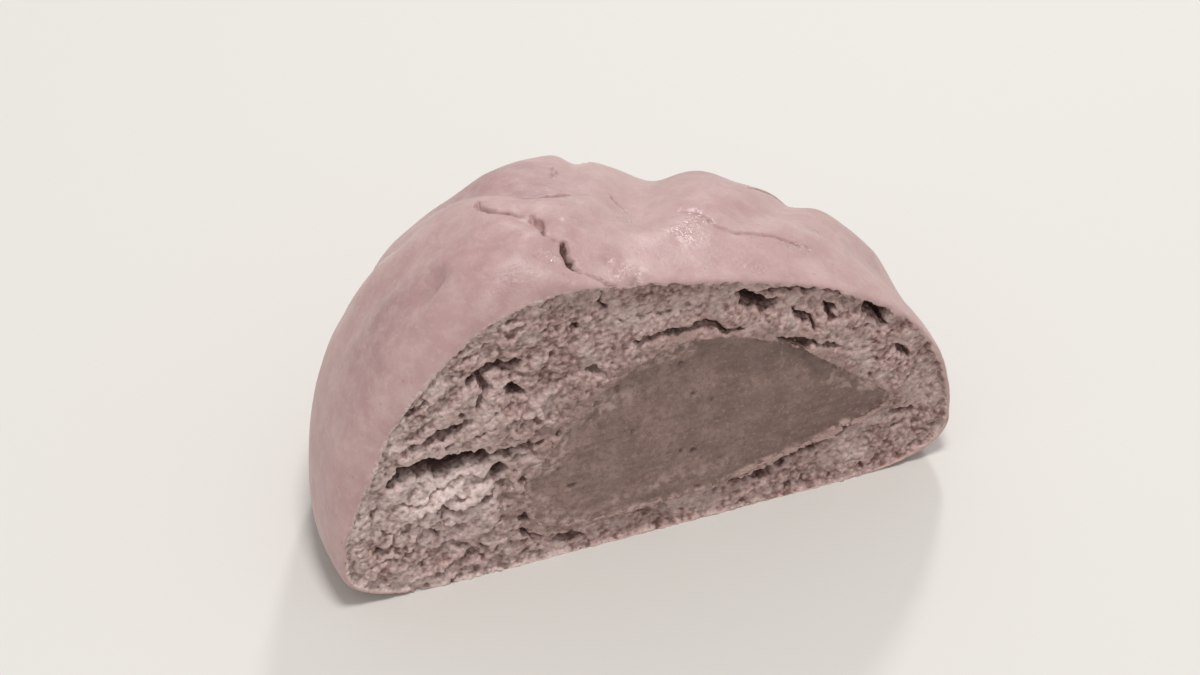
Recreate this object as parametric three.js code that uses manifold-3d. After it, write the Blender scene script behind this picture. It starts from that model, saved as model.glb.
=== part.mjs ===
// Half of a filled steamed bun, cut upright by a knife that passed a little beside the middle.
// Two pieces: the steamed dough, which is crumb and skin in one, and the paste filling in its pocket.
// Millimetres, +Z up. The bun stands on its flat base at z = 0 with the cut face towards -Y, and the
// origin is at the middle of the base of the box around it.
import * as THREE from "three";
import { mergeVertices } from "three/addons/utils/BufferGeometryUtils.js";
import Module from "manifold-3d";

const wasm = await Module();
wasm.setup();

// The whole bun, before it was cut.
const RADIUS = 47; // mean radius at its widest
const OVAL = 1.5; // how much wider it is along the cut than across it
const HEIGHT = 49; // base to crown, before the humps
const WAIST = 9; // height of its widest line
const SKIRT = 1.5; // how far the rounded underside would reach below the flat base
const SHOULDER = 0.87; // 1 is an ellipse, less is squarer above the waist
const HEEL = 0.6; // the same below the waist
const LEAN = 6; // the crown is lower by this towards +X and higher towards -X
const HUMP = { rise: 7, x: -21, y: 7, across: 18, along: 22 };

const CUT_AHEAD = 7; // how far in front of the bun's middle the knife passed

// Pleats drawn up to a knot on the crown. Each is a soft valley that fades out down the side.
const KNOT = { x: 0, y: -6 };
const PLEAT_DEPTH = 1.6;
const PLEAT_WIDTH = 0.13; // radians
const PLEAT_START = 10; // distance from the knot where the valley has opened
const PLEAT_END = 46; // distance where it has faded
const PLEATS_DEG = [-38, 6, 34, 68, 97, 124, 158, 196];

// The pocket of filling, measured from the cut plane and the bun's middle.
const POCKET = { x: 9, z: 16.2, halfLength: 29, depth: 26, rise: 20.3, sink: 10 };
const POCKET_TOP = { lean: 0.25, power: 2.2 }; // it leans towards -X, and draws in to a sharp rim
const POCKET_FLOOR = { lean: 0.43, power: 0.5 }; // it is deepest towards -X, with blunt sides
const GAP = 0.3; // between the filling and its pocket

const SEGMENTS = { around: 84, down: 46 };
const POCKET_SEGMENTS = { around: 48, down: 24 };
const KNIFE_BLOCK = 200;

// A closed geometry as a solid, with its shared vertices merged.
function solidOf(geometry) {
  const bare = geometry.clone().deleteAttribute("normal").deleteAttribute("uv");
  const merged = mergeVertices(bare, 1e-3);
  return new wasm.Manifold(
    new wasm.Mesh({
      numProp: 3,
      vertProperties: merged.getAttribute("position").array,
      triVerts: new Uint32Array(merged.index.array),
    }),
  );
}

function geometryOf(solid) {
  const { vertProperties, triVerts } = solid.getMesh();
  const geometry = new THREE.BufferGeometry();
  geometry.setAttribute("position", new THREE.BufferAttribute(vertProperties, 3));
  geometry.setIndex(new THREE.BufferAttribute(triVerts, 1));
  geometry.computeVertexNormals();
  return geometry;
}

// A unit ball with its poles up and down, and every vertex moved by shape().
function moulded({ around, down }, shape) {
  const ball = new THREE.SphereGeometry(1, around, down).rotateX(Math.PI / 2);
  const place = ball.getAttribute("position");
  const point = new THREE.Vector3();
  for (let i = 0; i < place.count; i++) {
    point.fromBufferAttribute(place, i);
    place.setXYZ(i, ...shape(point));
  }
  return ball;
}

const bell = (distance, width) => Math.exp(-((distance / width) ** 2));
const signedPower = (value, power) => Math.sign(value) * Math.abs(value) ** power;

// How deep the pleats press the skin in at a place on the crown.
function pleatDepth(x, y) {
  const outward = Math.hypot(x - KNOT.x, y - KNOT.y);
  const azimuth = Math.atan2(y - KNOT.y, x - KNOT.x);
  const reach =
    THREE.MathUtils.smoothstep(outward, 0, PLEAT_START) *
    (1 - THREE.MathUtils.smoothstep(outward, PLEAT_START, PLEAT_END));
  let depth = 0;
  for (const degrees of PLEATS_DEG) {
    const turn = azimuth - THREE.MathUtils.degToRad(degrees);
    const away = Math.atan2(Math.sin(turn), Math.cos(turn));
    depth += PLEAT_DEPTH * bell(away, PLEAT_WIDTH) * reach;
  }
  return depth;
}

// The bun's skin: a squared dome over a rounded heel, leaning, humped and pleated.
function skin({ x, y, z }) {
  const level = Math.hypot(x, y);
  const azimuth = Math.atan2(y, x);
  const power = z >= 0 ? SHOULDER : HEEL;
  const radius = (RADIUS + OVAL * Math.cos(2 * azimuth)) * level ** power;
  const px = radius * Math.cos(azimuth);
  const py = radius * Math.sin(azimuth);
  if (z < 0) return [px, py, WAIST + (WAIST + SKIRT) * signedPower(z, power)];
  const share = z ** power;
  const hump = HUMP.rise * bell(px - HUMP.x, HUMP.across) * bell(py - HUMP.y, HUMP.along);
  const crown = HEIGHT - WAIST - (LEAN * px) / RADIUS + hump - pleatDepth(px, py);
  return [px, py, WAIST + crown * share];
}

// The pocket's wall, or with a gap the filling that lies in it.
function pocketWall(gap) {
  return ({ x, y, z }) => {
    const [reach, side] = z >= 0 ? [POCKET.rise - gap, POCKET_TOP] : [POCKET.sink - gap, POCKET_FLOOR];
    return [
      POCKET.x + (POCKET.halfLength - gap) * x,
      -CUT_AHEAD + (POCKET.depth - gap) * y,
      POCKET.z + reach * (1 - side.lean * x) * signedPower(z, side.power),
    ];
  };
}

// What the knife left: everything behind the cut plane and above the base.
const kept = solidOf(
  new THREE.BoxGeometry(KNIFE_BLOCK, KNIFE_BLOCK, KNIFE_BLOCK).translate(
    0,
    KNIFE_BLOCK / 2 - CUT_AHEAD,
    KNIFE_BLOCK / 2,
  ),
);
const bun = solidOf(moulded(SEGMENTS, skin)).intersect(kept);
const pocket = solidOf(moulded(POCKET_SEGMENTS, pocketWall(0)));
const paste = solidOf(moulded(POCKET_SEGMENTS, pocketWall(GAP)));

const dough = new THREE.Mesh(
  geometryOf(bun.subtract(pocket)),
  new THREE.MeshStandardMaterial({ color: 0xc3a19e, roughness: 0.55, metalness: 0 }),
);
dough.name = "steamed_dough";

const filling = new THREE.Mesh(
  geometryOf(paste.intersect(kept)),
  new THREE.MeshStandardMaterial({ color: 0x85706a, roughness: 0.6, metalness: 0 }),
);
filling.name = "paste_filling";

const group = new THREE.Group().add(dough, filling);
const middle = new THREE.Box3().setFromObject(group).getCenter(new THREE.Vector3());
group.position.set(-middle.x, -middle.y, 0);

export default group;
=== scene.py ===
import itertools
import math

import bmesh
import bpy
import numpy as np
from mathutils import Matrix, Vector


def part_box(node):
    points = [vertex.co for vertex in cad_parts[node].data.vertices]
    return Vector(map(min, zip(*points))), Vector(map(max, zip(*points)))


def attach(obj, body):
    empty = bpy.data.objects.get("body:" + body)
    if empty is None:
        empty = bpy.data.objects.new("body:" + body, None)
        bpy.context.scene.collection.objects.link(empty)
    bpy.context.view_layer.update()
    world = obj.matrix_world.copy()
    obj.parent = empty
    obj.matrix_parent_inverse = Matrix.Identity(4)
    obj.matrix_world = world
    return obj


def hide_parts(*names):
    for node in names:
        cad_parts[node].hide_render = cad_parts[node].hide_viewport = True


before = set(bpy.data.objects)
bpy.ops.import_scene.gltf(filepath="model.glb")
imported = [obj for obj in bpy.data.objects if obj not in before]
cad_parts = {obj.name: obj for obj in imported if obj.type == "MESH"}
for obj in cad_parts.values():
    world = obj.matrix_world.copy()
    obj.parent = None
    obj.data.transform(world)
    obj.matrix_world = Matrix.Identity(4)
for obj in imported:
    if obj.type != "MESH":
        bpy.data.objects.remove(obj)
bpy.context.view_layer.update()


# ---- The steamed dough ----
# One ball of yeast dough, wrapped round a lump of paste, pinched shut at the crown and steamed into a leaning
# dome that is flat underneath, where it stood on its paper. A knife cut it upright a little in front of its
# middle, so its smooth skin and its torn crumb both show.
MM = 0.001
low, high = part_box("steamed_dough")
CUT_Y = low.y
OVAL = 1.5 * MM  # how much wider it is along the cut than across it
RADIUS = (high.x - low.x) / 2 - OVAL
MIDDLE_X = (low.x + high.x) / 2
MIDDLE_Y = high.y - (RADIUS - OVAL)
HUMP_ABOVE = 6.4 * MM  # how far the top of the hump stands over the middle of the crown
CROWN = high.z - HUMP_ABOVE
WAIST = 9 * MM  # height of the widest line
SKIRT = 1.5 * MM  # how far the rounded underside would reach below the flat base
SHOULDER = 2 / 0.87  # how square its outline is above the waist; 2 is an ellipse, more is squarer
HEEL = 2 / 0.6  # the same below the waist
LEAN = 6 * MM  # the crown is lower by this at its right edge, and higher at its left
HUMP_RISE, HUMP_ACROSS, HUMP_ALONG = 7 * MM, 18 * MM, 22 * MM
HUMP_X, HUMP_Y = MIDDLE_X - 21 * MM, MIDDLE_Y + 7 * MM
SLOPE_STEP = 0.2 * MM  # the slope of the dome is taken over this distance either way
LEAST_SLOPE = 1e-3  # keeps the middle of the dome, which has no slope, from being divided by nothing
DOME_GRID = (96, 64)  # faces round it and up it, before it is cut


def crown_at(x, y):
    """How far the dome rises above the waist over a place in plan."""
    hump = HUMP_RISE * np.exp(-(((x - HUMP_X) / HUMP_ACROSS) ** 2) - ((y - HUMP_Y) / HUMP_ALONG) ** 2)
    return CROWN - WAIST - LEAN * (x - MIDDLE_X) / RADIUS + hump


def fullness(p):
    """1 on the risen skin and 0 at the bun's heart."""
    x, y, z = p[:, 0] - MIDDLE_X, p[:, 1] - MIDDLE_Y, p[:, 2] - WAIST
    level = np.hypot(x, y) / (RADIUS + OVAL * np.cos(2 * np.arctan2(y, x)))
    rise = np.maximum(z, 0) / crown_at(p[:, 0], p[:, 1])
    drop = np.maximum(-z, 0) / (WAIST + SKIRT)
    above = (level**SHOULDER + rise**SHOULDER) ** (1 / SHOULDER)
    below = (level**HEEL + drop**HEEL) ** (1 / HEEL)
    return np.where(z >= 0, above, below)


def outward(p):
    """The direction that leaves the dough by the shortest way, and how fast fullness grows along it."""
    steps = SLOPE_STEP * np.eye(3)
    slope = [(fullness(p + step) - fullness(p - step)) / (2 * SLOPE_STEP) for step in steps]
    slope = np.stack(slope, axis=1)
    steepness = np.maximum(np.linalg.norm(slope, axis=1), LEAST_SLOPE)
    return slope / steepness[:, None], steepness


def under_skin(p):
    """How far below the risen skin each point lies."""
    return (1 - fullness(p)) / outward(p)[1]


def dome_point(v):
    """A point of a unit ball moved on to the risen skin."""
    power = 2 / (SHOULDER if v.z >= 0 else HEEL)
    turn = math.atan2(v.y, v.x)
    reach = (RADIUS + OVAL * math.cos(2 * turn)) * math.hypot(v.x, v.y) ** power
    x, y = MIDDLE_X + reach * math.cos(turn), MIDDLE_Y + reach * math.sin(turn)
    rise = float(crown_at(x, y)) if v.z >= 0 else -(WAIST + SKIRT)
    return Vector((x, y, WAIST + rise * abs(v.z) ** power))


def moulded(grid, shape):
    """A unit ball with each of its points moved by shape."""
    bm = bmesh.new()
    bmesh.ops.create_uvsphere(bm, u_segments=grid[0], v_segments=grid[1], radius=1)
    for v in bm.verts:
        v.co = shape(v.co)
    return bm


def slice_off(bm, place, normal):
    """Cuts off what lies beyond a plane and closes the cut."""
    geom = bm.verts[:] + bm.edges[:] + bm.faces[:]
    cut = bmesh.ops.bisect_plane(bm, geom=geom, plane_co=place, plane_no=normal, clear_outer=True)
    edges = [e for e in cut["geom_cut"] if isinstance(e, bmesh.types.BMEdge)]
    bmesh.ops.edgeloop_fill(bm, edges=edges)


def new_piece(name, bm):
    mesh = bpy.data.meshes.new(name)
    bm.to_mesh(mesh)
    bm.free()
    piece = bpy.data.objects.new(name, mesh)
    bpy.context.scene.collection.objects.link(piece)
    return piece


def settle(piece):
    """Makes the modifiers' result the piece's own mesh."""
    bpy.context.view_layer.update()
    done = piece.evaluated_get(bpy.context.evaluated_depsgraph_get())
    mesh = bpy.data.meshes.new_from_object(done)
    piece.modifiers.clear()
    piece.data = mesh


def even_out(piece, size):
    """Remeshes a piece in squares of one size, joining what overlaps."""
    even = piece.modifiers.new("even", "REMESH")
    even.mode = "VOXEL"
    even.voxel_size = size
    settle(piece)


def places(piece, what="co"):
    """Where a piece's points are, or which way they face."""
    co = np.empty(len(piece.data.vertices) * 3)
    piece.data.vertices.foreach_get(what, co)
    return co.reshape(-1, 3)


def put(piece, co):
    piece.data.vertices.foreach_set("co", co.ravel())
    piece.data.update()


bm = moulded(DOME_GRID, dome_point)
slice_off(bm, (0, CUT_Y, 0), (0, -1, 0))
slice_off(bm, (0, 0, 0), (0, 0, -1))
bmesh.ops.recalc_face_normals(bm, faces=bm.faces)
dough = new_piece("steamed_dough_half", bm)

# The dough rose round the paste. That left a pocket with a blunt floor, deep on the thick side of the bun,
# and a top that draws in to a thin rim at both ends.
paste_low, paste_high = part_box("paste_filling")
POCKET_X = (paste_low.x + paste_high.x) / 2
POCKET_Z = 16.2 * MM  # height of its rim
POCKET_LONG = (paste_high.x - paste_low.x) / 2
POCKET_DEEP = paste_high.y - CUT_Y
POCKET_RISE, POCKET_SINK = 20 * MM, 9.7 * MM
TOP_LEAN, TOP_POWER = 0.25, 2.2
FLOOR_LEAN, FLOOR_POWER = 0.43, 0.5
POCKET_ENDS = 1.3  # beyond this share of its half length nothing more is measured
POCKET_GRID = (64, 40)  # faces round it and up it
FINE = 0.26 * MM  # fine enough for single crumbs


def pocket_point(v, spread=0):
    """A point of a unit ball moved on to the pocket's wall, or spread beyond it."""
    if v.z >= 0:
        lift = (POCKET_RISE + spread) * (1 - TOP_LEAN * v.x) * v.z**TOP_POWER
    else:
        lift = -(POCKET_SINK + spread) * (1 - FLOOR_LEAN * v.x) * (-v.z) ** FLOOR_POWER
    across = POCKET_X + (POCKET_LONG + spread) * v.x
    return Vector((across, CUT_Y + (POCKET_DEEP + spread) * v.y, POCKET_Z + lift))


def pocket_fill(p):
    """Seen on the cut face, under 1 inside the pocket's outline and 1 on it."""
    across = np.clip((p[:, 0] - POCKET_X) / POCKET_LONG, -POCKET_ENDS, POCKET_ENDS)
    up = np.maximum(p[:, 2] - POCKET_Z, 0) / (POCKET_RISE * (1 - TOP_LEAN * across))
    down = np.maximum(POCKET_Z - p[:, 2], 0) / (POCKET_SINK * (1 - FLOOR_LEAN * across))
    return np.hypot(across, up ** (1 / TOP_POWER) + down ** (1 / FLOOR_POWER))


pocket = new_piece("pocket", moulded(POCKET_GRID, pocket_point))
hollow = dough.modifiers.new("hollow", "BOOLEAN")
hollow.operation = "DIFFERENCE"
hollow.object = pocket
settle(dough)
bpy.data.objects.remove(pocket)
even_out(dough, FINE)

# Where the dough was gathered and pinched shut, soft valleys run out from the crown between rounded lobes.
# It has a few dents, and the knife dragged the skin's edge inwards on the thick side. From here on, tables
# and shapes are in millimetres.
VALLEYS = [
    # points in plan, width, depth
    ([(-2, -28), (-9, -22.5), (-11, -19), (-12.5, -15), (-15, -10), (-20, -5)], 2.2, 1.2),
    ([(-4, -4), (-11.5, -3.5), (-19.5, 5), (-25, 15)], 2.3, 1.0),
    ([(-4, -3), (-1, 5), (2.2, 13), (3, 22), (3.5, 28)], 1.9, 1.1),
    ([(0, -14), (8, -1), (12.6, 9), (17, 19), (21, 28)], 5.0, 2.9),
    ([(17, -13), (26, -7), (32, 0.5), (40, 10)], 3.2, 1.3),
    ([(-28, -8), (-38, -7), (-44, -9)], 3.0, 0.9),
    ([(-14, 8), (-17, 16), (-22, 25)], 3.2, 1.3),
    ([(24, 4), (30, 14), (35, 20)], 3.2, 1.6),
    ([(-33.4, -16.8), (-30.5, -16), (-27.6, -14.6)], 1.2, 1.0),
    ([(-22, -24), (-21, -18), (-17, -13)], 2.6, 0.5),
    ([(-36, 4), (-42, 8)], 3.0, 0.8),
    ([(-26, 0), (-33, 9), (-37, 16)], 3.4, 1.1),
    ([(8, 14), (10, 21), (11, 27)], 2.6, 0.9),
    ([(-5, 16), (-7, 22), (-9, 28)], 2.8, 1.1),
]
OPENS, CLOSES = (-0.15, 0.25), (0.7, 1.02)  # the shares of its length where a valley deepens and runs out
RIDGES = [
    # points in plan, width, rise
    ([(-10.5, -15), (-16, -17), (-22, -20)], 2.2, 0.7),
    ([(-3, -7), (-6, -11), (-9.5, -14)], 1.8, 0.5),
    ([(-12, 7), (-6, 10.5), (-1.5, 11.5)], 5.0, 2.0),
    ([(18, -2), (20, 5)], 5.0, 0.5),
    ([(35.5, -3), (41, -8)], 3.6, 0.9),
    ([(-36, -22), (-39, -14), (-41, -4)], 2.6, 0.5),
]
DENTS = [
    # place in plan, width, depth
    ((-25, -9), 4.0, 0.5),
    ((5.6, -8), 1.3, 0.4),
    ((7.2, -17), 1.2, 0.3),
    ((24, -20), 4.0, 0.5),
    ((42, -15), 6.0, 1.5),
    ((-26, 8), 4.5, 0.7),
    ((12, 20), 3.0, 0.6),
    ((-3, -21), 2.4, 0.35),
    ((-30, -15.6), 2.3, 0.5),
]
SKIN_WAVES = [(0.35, 11, 1), (0.14, 5, 2)]  # soft unevenness
UPRIGHT = (1, 9)  # between these heights the skin turns from its plain heel to its pleated dome
CURL, CURL_REACH = 2.4, 7.0  # how far the skin's edge was dragged in, and over how much of the skin
CURL_STARTS, CURL_ENDS = (96, 114), (158, 178)  # degrees round the cut face where it comes and goes
EDGE_ROUND, EDGE_REACH, EDGE_FOOT = 0.35, 1.4, (1, 4)  # the cut skin's edge is rounded, above its foot
SINKS_IN = 5  # how deep in the dough a dent is still felt
UNDENT_ROUNDS, CURL_ROUNDS = 2, 4  # rounds to find where a point was before the dents, and more at the curl


def from_line(points, line):
    """How far each point lies from a line through some points, and how far along it, from 0 to 1."""
    line = np.array(line, float)
    runs = np.linalg.norm(np.diff(line, axis=0), axis=1)
    gap = np.full(len(points), np.inf)
    share = np.zeros(len(points))
    for start, end, run, done in zip(line, line[1:], runs, np.cumsum(runs) - runs):
        t = np.clip((points - start) @ (end - start) / run**2, 0, 1)
        here = np.linalg.norm(points - start - t[:, None] * (end - start), axis=1)
        closer = here < gap
        gap[closer] = here[closer]
        share[closer] = (done + t[closer] * run) / runs.sum()
    return gap, share


SCATTER = (374761393, 668265263, 1440662683, 1274126177)  # large primes that mix a cell's numbers well
SHIFTS, LOW_BITS = (13, 16), 0xFFFFFF


def lattice(cells, seed):
    """A random number from 0 to 1 for each cell of a grid."""
    n = cells @ np.array(SCATTER[:3]) + seed * SCATTER[3]
    n = (n ^ (n >> SHIFTS[0])) * SCATTER[3]
    return ((n ^ (n >> SHIFTS[1])) & LOW_BITS) / LOW_BITS


def ease(t):
    """From 0 to 1 with a soft start and a soft end."""
    return t * t * (3 - 2 * t)


def hills(points, size, seed):
    """Soft random hills from -1 to 1, about as far apart as size."""
    p = points / size
    cell = np.floor(p).astype(np.int64)
    t = ease(p - cell)
    total = np.zeros(len(p))
    for corner in itertools.product((0, 1), repeat=3):
        weight = np.prod(np.where(corner, t, 1 - t), axis=1)
        total += weight * lattice(cell + corner, seed)
    return 2 * total - 1


def waves(points, sizes):
    """Several sizes of hills added up, each with its height, its size and its seed."""
    return sum(height * hills(points, size, seed) for height, size, seed in sizes)


def bell(distance, width):
    return np.exp(-((distance / width) ** 2))


def ramp(value, start, end):
    return ease(np.clip((value - start) / (end - start), 0, 1))


def fade(distance, reach):
    """1 at no distance and 0 from reach on, steepest at the start."""
    return np.clip(1 - distance / reach, 0, 1) ** 2


def pressed(p):
    """How far the skin is pressed in at each point."""
    plan, height, behind = p[:, :2] / MM, p[:, 2] / MM, (p[:, 1] - CUT_Y) / MM
    depth = waves(p / MM, SKIN_WAVES)
    for line, width, deep in VALLEYS:
        gap, share = from_line(plan, line)
        depth += deep * bell(gap, width) * ramp(share, *OPENS) * (1 - ramp(share, *CLOSES))
    for line, width, rise in RIDGES:
        depth -= rise * bell(from_line(plan, line)[0], width)
    for place, width, deep in DENTS:
        depth += deep * bell(np.linalg.norm(plan - place, axis=1), width)
    depth *= ramp(height, *UPRIGHT)
    angle = np.degrees(np.arctan2(p[:, 2] - WAIST, p[:, 0] - MIDDLE_X))
    curl = ramp(angle, *CURL_STARTS) * (1 - ramp(angle, *CURL_ENDS))
    depth += CURL * curl * fade(behind, CURL_REACH)
    depth += EDGE_ROUND * fade(behind, EDGE_REACH) * ramp(height, *EDGE_FOOT)
    return depth * MM


def dent_shift(p):
    felt = np.exp(-np.maximum(under_skin(p) / MM, 0) / SINKS_IN)
    return outward(p)[0] * (pressed(p) * felt)[:, None]


def undented(p):
    """Where each point was before the pleats and dents."""
    q = p
    for _ in range(UNDENT_ROUNDS):
        q = p + dent_shift(q)
    by_edge = p[:, 1] < CUT_Y + (CURL_REACH + 1) * MM
    for _ in range(CURL_ROUNDS):
        q[by_edge] = p[by_edge] + dent_shift(q[by_edge])
    return q


# Behind the knife the crumb isn't flat. It tore along its layers into small lumps and flakes, with pores
# between them and a few long slits. It is finer and tighter under the skin, and it clings round the paste.
LIP = 0.4  # how thick the smooth skin's edge is
SLITS = [
    # points on the cut face as across and up, half width, depth
    ([(-41, 22.2), (-38.6, 23.8), (-35.6, 23.7), (-32.6, 23.2), (-29.4, 22.9), (-26, 22.8)], 1.65, 6.0),
    ([(-37, 28.6), (-33.5, 29.6), (-31, 30.2), (-28, 30.9)], 0.9, 4.5),
    ([(-28, 39), (-25, 40.2), (-21.5, 39.6), (-18.5, 40.4)], 0.8, 2.6),
    ([(-26, 39), (-25.4, 36.5), (-26.6, 33.6)], 0.6, 2.2),
    ([(-22, 35.8), (-19.8, 33.6)], 0.9, 3.0),
    ([(-27, 22.9), (-22, 22.6), (-18, 23), (-14, 24.4)], 0.5, 2.6),
    ([(-25.2, 19.6), (-22.0, 19.1)], 0.9, 3.4),
    ([(-32, 14.6), (-29.5, 13.6), (-27, 13.9), (-24.3, 15.6)], 0.7, 3.0),
    ([(-20.5, 9.4), (-18.4, 9.4)], 0.8, 2.6),
    ([(-22.5, 7.8), (-20, 6.3), (-17.5, 4)], 0.55, 2.8),
    ([(-42.8, 9.8), (-40.6, 10)], 0.5, 1.8),
    ([(-38.4, 36), (-35.4, 37.6)], 0.6, 1.8),
    ([(-11.8, 44.8), (-10.8, 43.8)], 0.5, 1.6),
    ([(-7.3, 50), (-7.2, 47.6), (-6.6, 46)], 0.4, 2.0),
    ([(-9.5, 35.6), (-7.4, 34.9)], 0.6, 1.8),
    ([(-2.8, 39), (1, 38.7), (4.5, 38.3), (8.3, 38.6), (10.5, 37.3), (14, 36.2)], 0.6, 3.0),
    ([(13.8, 43), (15, 41.2), (16.3, 39.6), (19.2, 39.2)], 1.1, 4.2),
    ([(17, 42), (21.5, 41.2), (27, 39.6), (31.5, 37)], 0.6, 2.8),
    ([(21.8, 37), (24, 34.5), (25.2, 32.4)], 0.8, 3.0),
    ([(27.4, 36.5), (28.2, 33.5)], 0.8, 3.0),
    ([(33.6, 34), (35.4, 32.4), (36.4, 30)], 1.5, 4.5),
    ([(19.5, 32.6), (22, 30.6), (25, 29.4), (29, 27)], 0.6, 2.6),
    ([(12.8, 4.4), (16.5, 4.6), (20, 6), (24, 7.8), (28, 8.6), (32, 10.2)], 0.8, 4.5),
    ([(-15, 2.6), (-11, 2)], 0.7, 2.0),
    ([(38, 26), (40.5, 22)], 0.6, 2.4),
    ([(38, 11), (42, 10.5)], 0.55, 2.2),
]
COARSE_TO, FINE_ABOVE = (-24, -6), (27, 36)  # across and up: its layers are coarse low on the thick side
FINER_BY = 0.55  # how much of that coarseness is gone high up
TIGHT_UNDER, TIGHTEST, LOOSENS = (2, 5), 0.55, 0.45  # it loosens between these depths under the skin
CLINGS_TO, CLINGING, LETS_GO = (0.3, 3.0), 0.4, 0.6  # and between these distances from the paste
WOBBLE_WIDE, WOBBLE_CLOSE, CLOSE_SHARE = (2.4, 5, 6), (1.0, 7, 8), 0.5  # size, and the seeds across and up
DRAWN_LONG = 1.15  # how much longer its lumps are along the layers than across them
TORN_BACK = 1.0  # how far behind the cut it tore on average
TORN_WIDE, TORN_CLOSE = [(0.8, 8, 11)], [(0.35, 3.6, 16)]
LAYER_TILT, LAYER_BEND, BENDS = 14, 24, (-20, 8)  # its layers climb on the left and then fall, in degrees
LAYER_THICK, LAYER_WAVES = 3.8, [(0.8, 6, 12), (0.3, 2.2, 13)]
LAYER_MIDDLE, LAYER_LEAST, LAYER_MORE = 0.35, 0.2, 1.2  # each slopes back from its foot, most where coarse
LAYERS_IN, LAYERS_FROM = (5, 14), (-0.5, 0.3)  # they show in patches of a size, from a seed
LOOSE_IN, LOOSE_FROM = (4, 15), (-0.3, 0.5)  # and so do the loose lumps
LARGE_LUMPS, LARGE_LEAST, LARGE_MORE = (2.8, 20), 0.6, 1.2  # size and seed, and their height
SMALL_LUMPS, SMALL_HEIGHT, FINE_HILLS = (1.1, 30), 0.42, [(0.18, 0.8, 33)]
PORES, PORE_WIDTH, PORE_LEAST, PORE_MORE = (2.1, 40), (0.08, 0.32), 0.4, 1.6
PORE_CHANCE = 0.68  # how many of the places for a pore have none
SHELF_X, SHELF_Z, SHELF_LONG, SHELF_HIGH = -31, 17.5, 8, 3.6  # one flake juts out as a ledge
SHELF_SLOPE, SHELF_JUTS = 0.42, 0.35
SLIT_WAVES = [(0.36, 2.0, 50), (0.315, 0.9, 51)]  # how the edges of the slits wander
SLIT_FLOOR, SLIT_MOUTH, SLIT_SHARE = 0.3, 1.5, 0.85  # shares of a slit's width and of its depth
SAG, SAG_BESIDE = 0.12, 1  # the crumb sags a little beside a slit
TIP, BELLY, TIPS_AT = 0.42, 0.58, (0.03, 0.97)  # how narrow a slit or crack ends, and by how much it swells
RIM_REACH = 16  # turns a share of the pocket's outline into millimetres
LIP_WAVES, LIP_TO = [(0.7, 1.6, 53)], (0.6, 1.6)  # between these shares of its thickness it turns to crumb
RAGGED = [(0.45, 1.1, 51)]
RAGGED_BY_PASTE, BY_PASTE = [(0.8, 2.6, 53), (0.5, 0.9, 55)], 2
RISES_MOST = 0.25  # how far a crumb may stand out before the knife's cut
ON_CUT = 0.1 * MM  # what lies no further than this behind the cut is on it
NIBBLED, NIBBLE_DEEP = [(0.3, 1.6, 56), (0.2, 0.8, 57)], 0.8  # how uneven the torn edge of the skin is


def pores(points, size, seed):
    """Distance to the nearest of some random places, one in each cell, and that place's own chance."""
    p = points / size
    cell = np.floor(p).astype(np.int64)
    best = np.full(len(p), np.inf)
    chance = np.zeros(len(p))
    for step in itertools.product((-1, 0, 1), repeat=3):
        there = cell + step
        spot = there + np.stack([lattice(there, seed + k) for k in range(3)], axis=1)
        gap = np.linalg.norm(p - spot, axis=1)
        closer = gap < best
        best[closer] = gap[closer]
        chance[closer] = lattice(there[closer], seed + 3)
    return best, chance


LUMP_WIDTH, LUMP_LEAST, LUMP_LEVEL = 0.85, 0.55, 0.4


def lumps(points, size, seed):
    """Rounded lumps with creases between them, higher than the middle by up to 0.6 and lower by up to 0.4."""
    gap, chance = pores(points, size, seed)
    height = np.sqrt(np.maximum(1 - (gap / LUMP_WIDTH) ** 2, 0))
    return height * (LUMP_LEAST + (1 - LUMP_LEAST) * chance) - LUMP_LEVEL


def sideways(points, size, seed_across, seed_up):
    """Hills that push places about in the cut face."""
    across, up = hills(points, size, seed_across), hills(points, size, seed_up)
    return np.stack([across, np.zeros_like(across), up], axis=1)


def spindle(share, half):
    """Half the width of a slit or crack, which draws in towards both ends."""
    return half * (TIP + BELLY * np.sin(np.pi * np.clip(share, *TIPS_AT)))


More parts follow.
